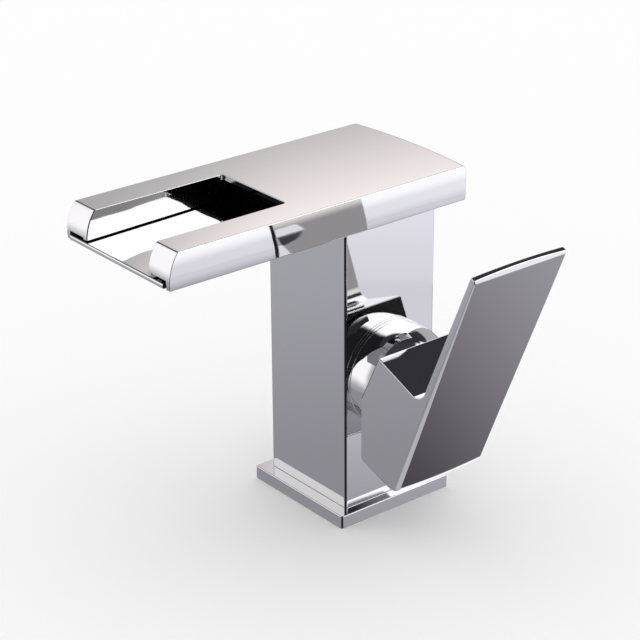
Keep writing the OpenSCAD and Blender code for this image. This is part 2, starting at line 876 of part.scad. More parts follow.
module screw_plug() {
    color(chrome)
    shut()
        translate([spindle_len - set_screw_back, handle_w / 2 - plug_t + run_gap, 0]) rotate([-90, 0, 0])
            cylinder(r = plug_r, h = plug_t - run_gap + plug_stand, $fn = 48);
}

base_flange();
base_gasket();
column_body();
valve_body();
deck_shell();
spout_tray();
tray_screws();
tray_seal();
flow_straightener();
outlet_nipple();
nipple_o_ring();
tie_bolts();
cartridge_housing();
cartridge_base();
port_seals();
fixed_disc();
retaining_nut();
bonnet();
bonnet_seat_ring();
rotor();
thrust_ring();
pivot_pin();
disc_carrier();
sliding_disc();
spindle();
handle();
set_screw();
screw_plug();
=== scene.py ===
"""Looks of a chromed basin tap with an open water channel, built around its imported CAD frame.

Every new piece is a surface worked out with numpy in the frame's own place, in millimetres, and put
into its mesh in metres. The spout points to -Y, the lever is on +X, and the basin's top is z = 0.
"""

import json
import math

import bpy
import numpy as np
from mathutils import Matrix, Vector


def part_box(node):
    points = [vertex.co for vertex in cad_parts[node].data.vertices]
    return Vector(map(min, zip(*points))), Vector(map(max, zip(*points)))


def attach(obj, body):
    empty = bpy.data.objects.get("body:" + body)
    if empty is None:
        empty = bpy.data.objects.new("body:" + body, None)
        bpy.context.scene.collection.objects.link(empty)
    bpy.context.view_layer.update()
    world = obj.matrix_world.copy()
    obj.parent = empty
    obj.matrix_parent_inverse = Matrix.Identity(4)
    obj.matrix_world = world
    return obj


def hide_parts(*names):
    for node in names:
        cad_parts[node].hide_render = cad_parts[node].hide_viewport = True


MM = 0.001
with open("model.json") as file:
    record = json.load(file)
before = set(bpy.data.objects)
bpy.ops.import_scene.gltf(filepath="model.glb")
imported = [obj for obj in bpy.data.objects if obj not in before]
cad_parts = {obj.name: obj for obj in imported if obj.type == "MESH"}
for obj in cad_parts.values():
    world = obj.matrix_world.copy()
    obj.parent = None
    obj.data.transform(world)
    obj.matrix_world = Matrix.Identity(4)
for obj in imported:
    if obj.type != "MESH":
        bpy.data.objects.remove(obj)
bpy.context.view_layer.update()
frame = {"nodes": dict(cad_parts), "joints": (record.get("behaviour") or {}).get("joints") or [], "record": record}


def corners_of(node):
    """A CAD node's lowest and highest corner, in millimetres to a thousandth."""
    return [np.round(np.array(corner) / MM, 3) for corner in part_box(node)]


flange_high = corners_of("base_flange")[1]
column_low, column_high = corners_of("column_body")
valve_high = corners_of("valve_body")[1]
deck_low, deck_high = corners_of("deck_shell")
tray_low, tray_high = corners_of("spout_tray")
bonnet_low = corners_of("bonnet")[0]
ring_low = corners_of("bonnet_seat_ring")[0]
handle_high = corners_of("handle")[1]

# Column and flange: plans are (half size across X, half size across Y, corner radius)
SPIGOT_INSET, SPIGOT_PLAY, TIGHT_CORNER = 1.4, 0.1, 0.3
FLANGE = (*flange_high[:2], 1.0)
COLUMN = (*column_high[:2], 1.1)
SPIGOT = (*column_high[:2] - SPIGOT_INSET, TIGHT_CORNER)
TUBE = (*valve_high[:2], TIGHT_CORNER)
WINDOW = (*column_high[:2] - SPIGOT_INSET + SPIGOT_PLAY, TIGHT_CORNER)
GROOVE_IN, GROOVE_OUT, GROOVE_CORNER, GROOVE_TOP = 1.1, 3.5, 0.5, 1.8
FLANGE_TOP, FLANGE_EDGE, COLUMN_EDGE = flange_high[2], 0.35, 0.4
SPIGOT_LOW, COLUMN_TOP, CAP_LOW = column_low[2], column_high[2], valve_high[2]

# Spout: outside, and the soft edges where its faces meet
DECK_HALF, DECK_LOW, DECK_TOP = deck_high[0], deck_low[2], deck_high[2]
NOSE_TIP, NOSE_R, NOSE_Z = deck_low[1], 18.2, 126.5
NOSE_Y = NOSE_TIP + NOSE_R
REAR_R, REAR_Y = 225.15, 32.0
REAR_CENTRE_Y = REAR_Y - REAR_R
SIDE_EDGE, REAR_EDGE, CREASE, SLOT_EDGE, UNDER_EDGE = 0.4, 1.6, 0.9, 0.25, 0.5
NOSE_IN_CORNER, NOSE_OUT_CORNER, REAR_CORNER = 0.45, 0.25, 0.6
# The polished sides ease in towards their upper and their lower border: (depth, final slope)
EASING = ((5.0, math.tan(math.radians(4.2))), (5.0, math.tan(math.radians(3.2))))

# Spout: the channel, the tray that its water runs over, the shadow slits and the hollow room
SLOT_HALF, SLOT_REAR, SLOT_CORNER = 19.1, -46.2, 1.5
SLOT_BACK = SLOT_REAR - SLOT_CORNER
WALL, TOP_PLATE = 2.1, 2.0
WALL_X = SLOT_HALF + WALL
ROOM_HALF, ROOM_TOP, ROOM_NOSE_R = DECK_HALF - WALL, DECK_TOP - TOP_PLATE, NOSE_R - WALL
FLOOR_TOP, FLOOR_FRONT = tray_high[2], -29.0
TRAY_FRONT, TRAY_FACE = tray_low[1], 126.4
TRAY_SLOPE = (tray_high[2] - TRAY_FACE) / (tray_high[1] - TRAY_FRONT)
TRAY_GAP, SLIT_TOP = 0.6, 127.7
CROWN_STOP = 1.0  # the inner wall's upper border stops falling this far from the inner nose's tip

# Cartridge's axis, bonnet and seat ring
PIVOT_X, _, AXIS_Z = np.round(np.array(frame["joints"][0]["pos_m"]) / MM, 3)
BONNET_R, BONNET_BACK, BONNET_EDGE = AXIS_Z - bonnet_low[2], bonnet_low[0], 0.25
BONNET_IN_R, MOUTH_R, COLLAR_R = BONNET_R - 1.6, 13.0, 17.9
RING_R, RING_IN_R, RING_BACK, RING_EDGE = AXIS_Z - ring_low[2], 18.0, ring_low[0], 0.2

# Lever: x and z from the pivot, or s up its inclined outer face from the foot and o outwards from it
HANDLE_HALF, HOLLOW_R = handle_high[1], BONNET_R + 0.6
LEAN = math.radians(22.2)
FOOT = np.array([25.5, -32.1])
FOOT_S, FOOT_BOW = -4.8, 1.2
TIP_S, TIP_BOW, TIP_THICK = 107.1, 0.8, 2.7
BEVEL_S, BEVEL_SLOPE = 105.1, math.tan(math.radians(24))
BLADE_S, BLADE_THICK = 50, 3.8
NOTCH_PULL, NOTCH_END = np.array([39.6, 10.4]), np.array([34.4, 10.6])
RIDGE, SHOULDER = np.array([14.6, 18.9]), np.array([4.4, -1.7])
DARK_FACE = np.array([SHOULDER[1] - RIDGE[1], RIDGE[0] - SHOULDER[0]])
SAME_WAY = 0.9999  # cosine above which a normal counts as that of the dark face

# Fineness: points on arcs, columns and rows on the surfaces
ARC, FINE_ARC, EDGE_STEPS, SQUARE_STEPS, TURN_STEPS = 9, 73, 5, 6, 192
SLOT_COLUMNS, SIDE_COLUMNS, REAR_COLUMNS, ROOM_COLUMNS = 13, 20, 17, 8
REAR_EDGE_ROWS, SLOT_EDGE_ROWS, NOTCH_POINTS = 13, 7, 17
CREASE_START = 0.9  # the angle at which the rows of the crease's arc begin
CORNER_STEPS, RUN_COLUMNS, HOLLOW_COLUMNS, HOLLOW_ROWS, HALF_ROWS = 8, 6, 33, 33, 25
LEVEL, LEVEL_ROWS, UNDER_ROWS, LIFT_ROWS = 128.2, 14, 6, 7  # above LEVEL the outer band's rows run level
HEIGHT_STEP, WIDTH_STEP = 1e-6, 1e-5  # steps over which slopes are measured
STEEPEST = 1.57  # just under a quarter turn
WELD_GRID = 1e4  # steps to the millimetre: points in the same step are one vertex

# The two materials of a new piece: polished chrome, and a near-black one that is painted shade inside the spout's
# hollow and a painted dark reflection on the lever's near face
POLISHED, PAINTED_DARK = 0, 1  # the two finishes of a new piece


# Vectors and plans


def turn_right(v):
    """The direction a quarter turn clockwise from v: the outward side of a counter-clockwise path."""
    return np.stack([v[..., 1], -v[..., 0]], -1)


def unit(v):
    """v divided by its length."""
    return v / np.maximum(np.linalg.norm(v, axis=-1, keepdims=True), 1e-12)


def directions(angles):
    """(cos a, sin a) for each angle a."""
    return np.stack([np.cos(angles), np.sin(angles)], -1)


def raised(plan, z):
    """Plan points, or plan normals, with a third coordinate z: one number for all or one for each."""
    plan, z = np.asarray(plan, float), np.asarray(z, float)[..., None]
    return np.concatenate([plan, np.broadcast_to(z, plan.shape[:-1] + (1,))], -1)


# Meshes


def grid_faces(rows, cols):
    """The quads of a rows x cols grid of points, as rows of four indices."""
    i = np.arange(rows * cols).reshape(rows, cols)
    return np.stack([i[:-1, :-1], i[:-1, 1:], i[1:, 1:], i[1:, :-1]], -1).reshape(-1, 4)


def patch_faces(points, normals):
    """A patch's faces as rows of point indices, turned so that they look along its normals.

    A grid's quad looks along the cross product of its diagonals, and a loop's polygon along the sum of
    the cross products of its spokes from the first point.
    """
    if points.ndim == 3:
        faces = grid_faces(*points.shape[:2])
        a, b, c, d = points.reshape(-1, 3)[faces.T]
        facing = (np.cross(c - a, d - b) * normals.reshape(-1, 3)[faces].mean(1)).sum()
    else:
        faces = np.arange(len(points))[None]
        spokes = points - points[0]
        facing = np.cross(spokes, np.roll(spokes, -1, 0)).sum(0) @ normals[0]
    return faces[:, ::-1] if facing < 0 else faces


def weld(points, corners, sizes):
    """Joins points that fall in the same step of the weld grid, and drops faces that have no width left.

    corners holds the faces' point indices one face after another, and sizes how many each face has. A
    face keeps the corners whose vertex differs from the one before, if they are three or more and all
    different. Returns each vertex's first point, the vertex at each corner, which corners and which
    faces are kept, and how many corners each kept face has.
    """
    keys = np.round(points * WELD_GRID).astype(np.int64)
    _, first, welded = np.unique(keys, axis=0, return_index=True, return_inverse=True)
    vertices = welded.ravel()[corners]
    face = np.repeat(np.arange(len(sizes)), sizes)
    ends = np.cumsum(sizes)
    before = np.arange(len(corners)) - 1
    before[ends - sizes] = ends - 1
    kept = vertices != vertices[before]
    pairs = np.unique(np.column_stack([face, vertices])[kept], axis=0)
    count = np.bincount(face[kept], minlength=len(sizes))
    whole = (count > 2) & (count == np.bincount(pairs[:, 0], minlength=len(sizes)))
    return first, vertices, kept & whole[face], whole, count[whole]


def make_piece(name, patches, body, slot, *nodes):
    """One mesh from patches that share their borders.

    A patch is a grid of points with a normal at each, or an open loop of points with one normal, which
    becomes a flat polygon. A third member gives it the near-black material: painted shade inside the
    spout's hollow, or a painted dark reflection on the lever. Each corner keeps its own patch's normal,
    so flats stay flat up to their edges.
    """
    points, normals, corners, sizes, material_pick = [], [], [], [], []
    count = 0
    for patch_points, patch_normals, *marks in patches:
        p = np.asarray(patch_points, float)
        n = np.broadcast_to(np.asarray(patch_normals, float), p.shape)
        faces = patch_faces(p, n)
        points.append(p.reshape(-1, 3))
        normals.append(n.reshape(-1, 3))
        corners.append((faces + count).ravel())
        sizes.append(np.full(len(faces), faces.shape[1]))
        material_pick.append(np.full(len(faces), PAINTED_DARK if marks else POLISHED))
        count += len(points[-1])
    points, normals, corners, sizes, material_pick = map(np.concatenate, (points, normals, corners, sizes, material_pick))
    first, vertices, kept, whole, new_sizes = weld(points, corners, sizes)
    faces = np.split(vertices[kept], np.cumsum(new_sizes)[:-1])
    mesh = bpy.data.meshes.new(name)
    mesh.from_pydata((points[first] * MM).tolist(), [], [face.tolist() for face in faces])
    mesh.shade_smooth()
    mesh.normals_split_custom_set(unit(normals)[corners[kept]].tolist())
    mesh.polygons.foreach_set("material_index", material_pick[whole].tolist())
    obj = bpy.data.objects.new(name, mesh)
    bpy.context.scene.collection.objects.link(obj)
    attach(obj, body)
    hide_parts(*nodes)
    return obj


def mirrored(patches, axis=0):
    """The patches and their mirror images across the plane through the origin square to that axis."""
    flip = np.ones(3)
    flip[axis] = -1
    return patches + [(np.asarray(p) * flip, np.asarray(n) * flip, *marks) for p, n, *marks in patches]


def turned(profile, normals):
    """A profile (along X, radius) carried round the axis: (x, r cos a, axis height + r sin a)."""
    a = np.linspace(0, 2 * np.pi, TURN_STEPS + 1)
    a[-1] = 0
    c, s = np.cos(a)[:, None], np.sin(a)[:, None]
    x, r = profile.T
    normal_x, normal_r = normals.T
    points = np.stack([x + 0 * c, r * c, AXIS_Z + r * s], -1)
    return points, np.stack([normal_x + 0 * c, normal_r * c, normal_r * s], -1)


def straight(start, end, normal):
    """A straight run of a profile, with one normal."""
    return np.array([start, end], float), np.array([normal, normal], float)


def rounded_path(corners, radii, steps):
    """A closed path through corners whose turns are arcs of the given radii.

    At each corner the arc's centre lies on the bisector at radius / cos(half the turn), and its points
    run from the normal of the edge before to that of the edge after. corners may carry leading axes.
    Returns points and outward normals (the right-hand side of a counter-clockwise path).
    """
    before = unit(corners - np.roll(corners, 1, -2))
    after = unit(np.roll(corners, -1, -2) - corners)
    n0, n1 = turn_right(before), turn_right(after)
    half = unit(n0 + n1)
    cosine = np.einsum("...k,...k->...", half, n0)[..., None]
    turn = before[..., 0] * after[..., 1] - before[..., 1] * after[..., 0]
    side = np.where(turn >= 0, 1.0, -1.0)[..., None]
    radius = radii[:, None]
    centre = corners - side * half * radius / cosine
    a0 = np.arctan2(n0[..., 1], n0[..., 0])
    a1 = np.arctan2(n1[..., 1], n1[..., 0])
    sweep = (a1 - a0 + np.pi) % (2 * np.pi) - np.pi
    normals = directions(a0[..., None] + sweep[..., None] * np.linspace(0, 1, steps + 1))
    points = centre[..., None, :] + (side * radius)[..., None] * normals
    flat = points.shape[:-3] + (-1, 2)
    return points.reshape(flat), normals.reshape(flat)


# Flange and column


def square_loops(rows):
    """Rounded rectangles stacked into a surface, one for each row of the profile.

    A row is (half width, half depth, corner radius, height, outward share of the normal, its Z share).
    A point is its corner's centre plus the radius along a direction, a quarter turn of them a corner.
    """
    half_x, half_y, corner, z, out, up = np.array(rows, float).T[:, :, None]
    c, s = directions(np.linspace(0, np.pi / 2, SQUARE_STEPS + 1)).T
    along_x, along_y = np.concatenate([[c, s], [-s, c], [-c, -s], [s, -c]], 1)
    side_x, side_y = np.repeat([[1, -1, -1, 1], [1, 1, -1, -1]], SQUARE_STEPS + 1, 1)
    x = side_x * (half_x - corner) + corner * along_x
    y = side_y * (half_y - corner) + corner * along_y
    points = np.stack([x, y, z + 0 * x], -1)
    normals = np.stack([along_x * out, along_y * out, up + 0 * x], -1)
    return tuple(np.concatenate([grid, grid[:, :1]], 1) for grid in (points, normals))


def drawn_in(plan, by):
    """A rounded rectangle's plan with its border moved inwards: each of its sizes less by as much."""
    return tuple(size - by for size in plan)


def edge_rows(plan, z, radius, top=True):
    """Rows of a quarter-round edge: from the side face up to the flat one at z, or up from a flat one there.

    A row at angle a is drawn in by radius (1 - cos a) and lies radius (1 - sin a) away from the flat.
    """
    side = 1 if top else -1
    rows = []
    for a in np.linspace(0, np.pi / 2, EDGE_STEPS + 1)[::side]:
        height = z - side * radius * (1 - math.sin(a))
        rows.append((*drawn_in(plan, radius * (1 - math.cos(a))), height, math.cos(a), side * math.sin(a)))
    return rows


def flat_between(outer, inner, z, up):
    """Two rows of one flat ring, both with the normal straight up or down."""
    return [(*outer, z, 0, up), (*inner, z, 0, up)]


def band(plan, z0, z1, out=1):
    """Two rows of an upright band, with the normal outwards or inwards."""
    return [(*plan, z0, out, 0), (*plan, z1, out, 0)]


def lid(plan, z, up):
    """A flat polygon that fills a rounded rectangle."""
    loop, _ = square_loops([(*plan, z, 0, up)])
    return loop[0, :-1], (0, 0, up)


def flange_patches():
    """The flange's section carried round its square window: side, soft edges, top, window, groove."""
    inset = drawn_in(FLANGE, FLANGE_EDGE)
    groove_in, groove_out = (
        (WINDOW[0] + across, WINDOW[1] + across, GROOVE_CORNER) for across in (GROOVE_IN, GROOVE_OUT)
    )
    lower_edge = edge_rows(FLANGE, 0, FLANGE_EDGE, top=False)
    rows = [
        lower_edge + edge_rows(FLANGE, FLANGE_TOP, FLANGE_EDGE),
        flat_between(inset, WINDOW, FLANGE_TOP, 1),
        band(WINDOW, FLANGE_TOP, 0, -1),
        flat_between(WINDOW, groove_in, 0, -1),
        band(groove_in, 0, GROOVE_TOP, 1),
        flat_between(groove_in, groove_out, GROOVE_TOP, -1),
        band(groove_out, GROOVE_TOP, 0, -1),
        flat_between(groove_out, inset, 0, -1),
    ]
    return [square_loops(profile) for profile in rows]


def column_patches():
    """The tube's section carried round its axis: spigot, shoulder, outer wall, inner wall, end, two lids."""
    foot = edge_rows(COLUMN, FLANGE_TOP, COLUMN_EDGE, top=False)
    rows = [
        band(SPIGOT, SPIGOT_LOW, FLANGE_TOP),
        flat_between(SPIGOT, drawn_in(COLUMN, COLUMN_EDGE), FLANGE_TOP, -1),
        foot + band(COLUMN, FLANGE_TOP + COLUMN_EDGE, COLUMN_TOP),
        band(TUBE, CAP_LOW, SPIGOT_LOW, -1),
        flat_between(TUBE, SPIGOT, SPIGOT_LOW, -1),
    ]
    patches = [square_loops(profile) for profile in rows]
    return patches + [lid(COLUMN, COLUMN_TOP, 1), lid(TUBE, CAP_LOW, -1)]


# Spout's outside


def tray_top(y):
    """Height of the tray's face, which rises by a steady slope towards the rear."""
    return TRAY_FACE + (y - TRAY_FRONT) * TRAY_SLOPE


def round_over(z, edge):
    """How far a quarter-round edge under the top face draws in at height z: r - sqrt(r^2 - rise^2)."""
    rise = np.clip(z - (DECK_TOP - edge), 0, edge)
    return edge - np.sqrt(np.maximum(edge**2 - rise**2, 0))


def side_inset(z, edge):
    """How far the outer side draws in at height z.

    It eases in by slope t^2 / (2 depth) towards both its borders, with t counted from depth before a
    border, keeps the slope past it, and ends in a quarter round under the top face.
    """
    inset = round_over(z, edge)
    borders = (z - (DECK_TOP - SIDE_EDGE), DECK_LOW + UNDER_EDGE - z)
    for (depth, slope), past in zip(EASING, borders):
        t = np.clip(past + depth, 0, None)
        inset = inset + slope * np.where(t < depth, t**2 / (2 * depth), t - depth / 2)
    return inset


def nose_front(z):
    """The nose's side view: an arc of NOSE_R, blended into the top face by an arc of radius CREASE."""
    arc = NOSE_Y - np.sqrt(np.maximum(NOSE_R**2 - (z - NOSE_Z) ** 2, 0))
    up = DECK_TOP - CREASE - NOSE_Z
    out = math.sqrt((NOSE_R - CREASE) ** 2 - up**2)
    touch = NOSE_Z + up * NOSE_R / (NOSE_R - CREASE)
    rise = np.clip(z - (DECK_TOP - CREASE), 0, CREASE)
    blend = NOSE_Y - out - np.sqrt(np.maximum(CREASE**2 - rise**2, 0))
    return np.where(z > touch, blend, arc)


def spout_outline(z, draw):
    """The right half of the spout in plan at height z, drawn in by draw: slot wall, nose, side, rear.

    Each part is a straight line or an arc, and z and draw may be arrays. Returns x, y and the plan
    normal for each column, and the name of each column's lower border.
    """
    z, draw = np.asarray(z, float)[..., None], np.asarray(draw, float)[..., None]
    slot_x = SLOT_HALF + round_over(z, SLOT_EDGE)
    side_x = DECK_HALF - side_inset(z, SIDE_EDGE) - draw
    front = nose_front(z) + draw
    rear = REAR_R - side_inset(z, REAR_EDGE) - draw
    runs, borders = [], []

    def add(border, x, y, normal_x, normal_y):
        """Adds columns that share a kind of lower border."""
        runs.append(np.stack(np.broadcast_arrays(x, y, normal_x, normal_y), -1))
        borders.extend([border] * runs[-1].shape[-2])

    c, s = directions(np.linspace(0, np.pi / 2, ARC)).T
    slot_run = (front + NOSE_IN_CORNER - SLOT_BACK) * np.linspace(0, 1, SLOT_COLUMNS)
    add("slot", slot_x, SLOT_BACK + slot_run, -1, 0)
    add("wall", slot_x + NOSE_IN_CORNER * (1 - c), front + NOSE_IN_CORNER * (1 - s), -c, -s)
    for border, x in (("wall", WALL_X), ("slit", WALL_X), ("slit", ROOM_HALF), ("deck", ROOM_HALF)):
        add(border, x, front, 0, -1)
    add("deck", side_x - NOSE_OUT_CORNER * (1 - s), front + NOSE_OUT_CORNER * (1 - c), s, -c)
    centre_x = side_x - REAR_CORNER
    centre_y = REAR_CENTRE_Y + np.sqrt((rear - REAR_CORNER) ** 2 - centre_x**2)
    start = front + NOSE_OUT_CORNER
    add("deck", side_x, start + (centre_y - start) * np.linspace(0, 1, SIDE_COLUMNS + 1)[1:], 1, 0)
    lean = np.arctan2(centre_y - REAR_CENTRE_Y, centre_x)
    a = lean * np.linspace(0, 1, ARC)[1:]
    c, s = np.cos(a), np.sin(a)
    add("deck", centre_x + REAR_CORNER * c, centre_y + REAR_CORNER * s, c, s)
    a = lean + (np.pi / 2 - lean) * np.linspace(0, 1, REAR_COLUMNS)[1:]
    c, s = np.cos(a), np.sin(a)
    add("deck", rear * c, REAR_CENTRE_Y + rear * s, c, s)
    return np.concatenate(runs, -2), np.array(borders)


def columns_at(z, draw):
    """The spout's outline with its column k taken at height z[..., k] and drawn in by draw[..., k]."""
    outline, _ = spout_outline(z, draw)
    k = np.arange(outline.shape[-2])
    return outline[..., k, k, :]


def lower_border(borders, y):
    """Height of each column's lower border: over the tray, over the shadow slit, or the underside."""
    heights = {"slot": tray_top(y) + TRAY_GAP, "wall": tray_top(NOSE_TIP) + TRAY_GAP,
               "slit": SLIT_TOP, "deck": DECK_LOW}
    return np.select([borders == name for name in heights], list(heights.values()))


def outer_band():
    """The spout's outer wall as a grid: its plan outline by height, with normals and border names.

    The lowest rows round the lower edge, the next ones part the rest up to LEVEL, and those above run
    level. A normal is the plan normal plus as much Z as the outline moves inwards for each step up.
    """
    start, borders = spout_outline(LEVEL, 0)
    low = lower_border(borders, start[:, 1])
    soft = np.where(borders == "deck", UNDER_EDGE, 0.0)
    edges = ((SIDE_EDGE, 0, ARC), (REAR_EDGE, 0, REAR_EDGE_ROWS), (CREASE, CREASE_START, ARC),
             (SLOT_EDGE, 0, SLOT_EDGE_ROWS))
    top_z = np.unique(np.concatenate([
        DECK_TOP - edge + edge * np.sin(np.linspace(first, np.pi / 2, count)) for edge, first, count in edges
    ]))
    level = np.concatenate([np.linspace(LEVEL, DECK_TOP - REAR_EDGE, LEVEL_ROWS)[1:-1], top_z])[:, None]
    lift = np.linspace(0, 1, LIFT_ROWS)[1:, None]
    turn = np.linspace(0, np.pi / 2, UNDER_ROWS)[::-1, None]
    foot = low + soft
    z = np.vstack([foot - soft * np.sin(turn), foot + (LEVEL - foot) * lift, level + 0 * low])
    draw = np.zeros_like(z)
    draw[:UNDER_ROWS] = soft * (1 - np.cos(turn))
    here, beneath = columns_at(z, draw), columns_at(z - HEIGHT_STEP, draw)
    slope = -((here - beneath)[..., :2] / HEIGHT_STEP * here[..., 2:]).sum(-1)
    slope[:UNDER_ROWS] -= np.where(soft > 0, np.tan(np.minimum(turn, STEEPEST)), 0)
    return raised(here[..., :2], z), unit(raised(here[..., 2:], slope)), borders


# Spout's inside and underside; the walls, ceiling and floor inside its hollow are near-black, painted shade


def wall_over(plan, plan_normal, z_low, z_high):
    """An upright wall over a path in plan, between two heights, as a grid of two rows."""
    normal = raised(np.broadcast_to(plan_normal, np.shape(plan)), 0)
    return np.array([raised(plan, z_low), raised(plan, z_high)]), np.array([normal, normal])


def strip_between(outer, inner, z_outer, z_inner, up):
    """A strip between two paths in plan, as a grid of two rows that looks up or down."""
    return np.array([raised(outer, z_outer), raised(inner, z_inner)]), (0, 0, up)


def level_face(half, z, up, whole=True):
    """A flat polygon at height z over a loop in plan, or over a right half and its mirror image."""
    half = np.asarray(half, float)
    loop = np.vstack([half, half[::-1][1:-1] * [-1, 1]]) if whole else half
    return raised(loop, z), (0, 0, up)


def room_front(z):
    """The room's nose in side view: an arc round the nose's centre, one wall inside the outer arc."""
    return NOSE_Y - np.sqrt(ROOM_NOSE_R**2 - (z - NOSE_Z) ** 2)


def room_rear():
    """The room's rear wall in plan: an arc round the rear's centre, and the normals into the room."""
    radius = REAR_R - WALL
    lean = math.acos(ROOM_HALF / radius)
    out = directions(lean + (np.pi / 2 - lean) * np.linspace(0, 1, ARC))
    return [0, REAR_CENTRE_Y] + radius * out, -out


def channel_rear():
    """The channel's rear edge in plan: a fillet, then a straight run to the middle, and its normals."""
    out = directions(np.linspace(0, np.pi / 2, ARC))
    fillet = [SLOT_HALF - SLOT_CORNER, SLOT_BACK] + SLOT_CORNER * out
    return np.vstack([fillet, [0, SLOT_REAR]]), np.vstack([-out, [0, -1]])


def top_plate_rim(edge, edge_normal):
    """The top plate's upright edge behind the channel, with a quarter round under the top face."""
    arc = np.sin(np.linspace(0, np.pi / 2, SLOT_EDGE_ROWS))
    z = np.concatenate([[ROOM_TOP], DECK_TOP - SLOT_EDGE + SLOT_EDGE * arc])[:, None]
    rise = np.maximum(z - (DECK_TOP - SLOT_EDGE), 0) / SLOT_EDGE
    level = np.sqrt(np.maximum(1 - rise**2, 0))
    plan = edge - round_over(z, SLOT_EDGE)[..., None] * edge_normal
    return raised(plan, z), raised(edge_normal * level[..., None], rise)


def channel_wall(low_edge):
    """The channel's side wall from behind: its rear end, its inner side and its lower rim.

    The inner side's upper border follows the inner nose: nose's height + sqrt(r^2 - reach^2).
    """
    corner, end = [SLOT_HALF, SLOT_REAR], [WALL_X, SLOT_REAR]
    side_low = tray_top(np.array([SLOT_BACK, SLOT_REAR])) + TRAY_GAP
    y = np.concatenate([[SLOT_REAR], np.maximum(low_edge[:, 1], room_front(low_edge[:, 2]))])
    reach = np.clip(y - NOSE_Y, CROWN_STOP - ROOM_NOSE_R, 0)
    crown = np.minimum(ROOM_TOP, NOSE_Z + np.sqrt(ROOM_NOSE_R**2 - reach**2))
    inner = np.column_stack([np.full(len(y), WALL_X), y])
    outer = np.vstack([[*corner, side_low[1]], low_edge])
    return [
        wall_over([[SLOT_HALF, SLOT_BACK], corner], (-1, 0), side_low, ROOM_TOP),
        wall_over([corner, end], (0, 1), side_low[1], ROOM_TOP),
        (*wall_over(inner, (1, 0), tray_top(y) + TRAY_GAP, crown), PAINTED_DARK),
        strip_between(outer[:, :2], inner, outer[:, 2], tray_top(y) + TRAY_GAP, -1),
    ]


def inner_nose():
    """The room's nose over the shadow slit, an arc carried across, and the slit's upper edge."""
    z = np.linspace(SLIT_TOP, ROOM_TOP, ARC)[:, None]
    x = np.array([WALL_X, ROOM_HALF])
    face = np.stack(np.broadcast_arrays(x, room_front(z), z), -1)
    normals = np.stack(np.broadcast_arrays(0 * x, NOSE_Y - room_front(z), NOSE_Z - z), -1)
    front, back = ([[WALL_X, y], [ROOM_HALF, y]] for y in (nose_front(SLIT_TOP), room_front(SLIT_TOP)))
    return [(face, normals, PAINTED_DARK), strip_between(front, back, SLIT_TOP, SLIT_TOP, -1)]


def room_sides(outer_low):
    """The room's outer wall and rear, its floor, and the spout's underside."""
    y = np.linspace(room_front(ROOM_TOP), FLOOR_FRONT, ROOM_COLUMNS)
    z = np.linspace(DECK_LOW, ROOM_TOP, ARC)[:, None]
    nose_y = np.concatenate([nose_front(z), room_front(z)], 1)
    beside_nose = np.stack(np.broadcast_arrays(ROOM_HALF, nose_y, z), -1)
    rim = outer_low[outer_low[:, 1] < FLOOR_FRONT, :2]
    behind = outer_low[outer_low[:, 1] >= FLOOR_FRONT, :2]
    rim_y = np.clip(rim[:, 1], room_front(DECK_LOW), FLOOR_FRONT)
    middle, corner = [0, FLOOR_FRONT], [ROOM_HALF, FLOOR_FRONT]
    arc, arc_normal = room_rear()
    return [
        (*wall_over(np.column_stack([np.full(len(y), ROOM_HALF), y]), (-1, 0), DECK_LOW, ROOM_TOP), PAINTED_DARK),
        (beside_nose, (-1, 0, 0), PAINTED_DARK),
        strip_between(rim, np.column_stack([np.full(len(rim), ROOM_HALF), rim_y]), DECK_LOW, DECK_LOW, -1),
        (*wall_over(np.vstack([corner, arc]), np.vstack([[-1, 0], arc_normal]), FLOOR_TOP, ROOM_TOP), PAINTED_DARK),
        (*wall_over([middle, corner], (0, -1), DECK_LOW, FLOOR_TOP), PAINTED_DARK),
        (*level_face(np.vstack([middle, corner, arc]), FLOOR_TOP, 1, whole=False), PAINTED_DARK),
        level_face(np.vstack([middle, corner, rim[-1:], behind]), DECK_LOW, -1, whole=False),
    ]


def spout_patches():
    """The hollow spout: outer band, top and ceiling polygons, inner walls, rims and the rear floor."""
    points, normals, borders = outer_band()
    edge, edge_normal = channel_rear()
    rim_points, rim_normals = top_plate_rim(edge, edge_normal)
    half = [(points, normals), (rim_points, rim_normals)]
    half += channel_wall(points[0][(borders == "slot") | (borders == "wall")])
    half += inner_nose()
    half += room_sides(points[0][borders == "deck"])
    top = np.vstack([rim_points[-1, ::-1, :2], points[-1, 1:, :2]])
    front = room_front(ROOM_TOP)
    inside = [[SLOT_HALF, SLOT_REAR], [WALL_X, SLOT_REAR], [WALL_X, front], [ROOM_HALF, front]]
    ceiling = np.vstack([edge[::-1], inside, room_rear()[0]])
    return mirrored(half) + [level_face(top, DECK_TOP, 1), (*level_face(ceiling, ROOM_TOP, -1), PAINTED_DARK)]


# Bonnet and seat ring


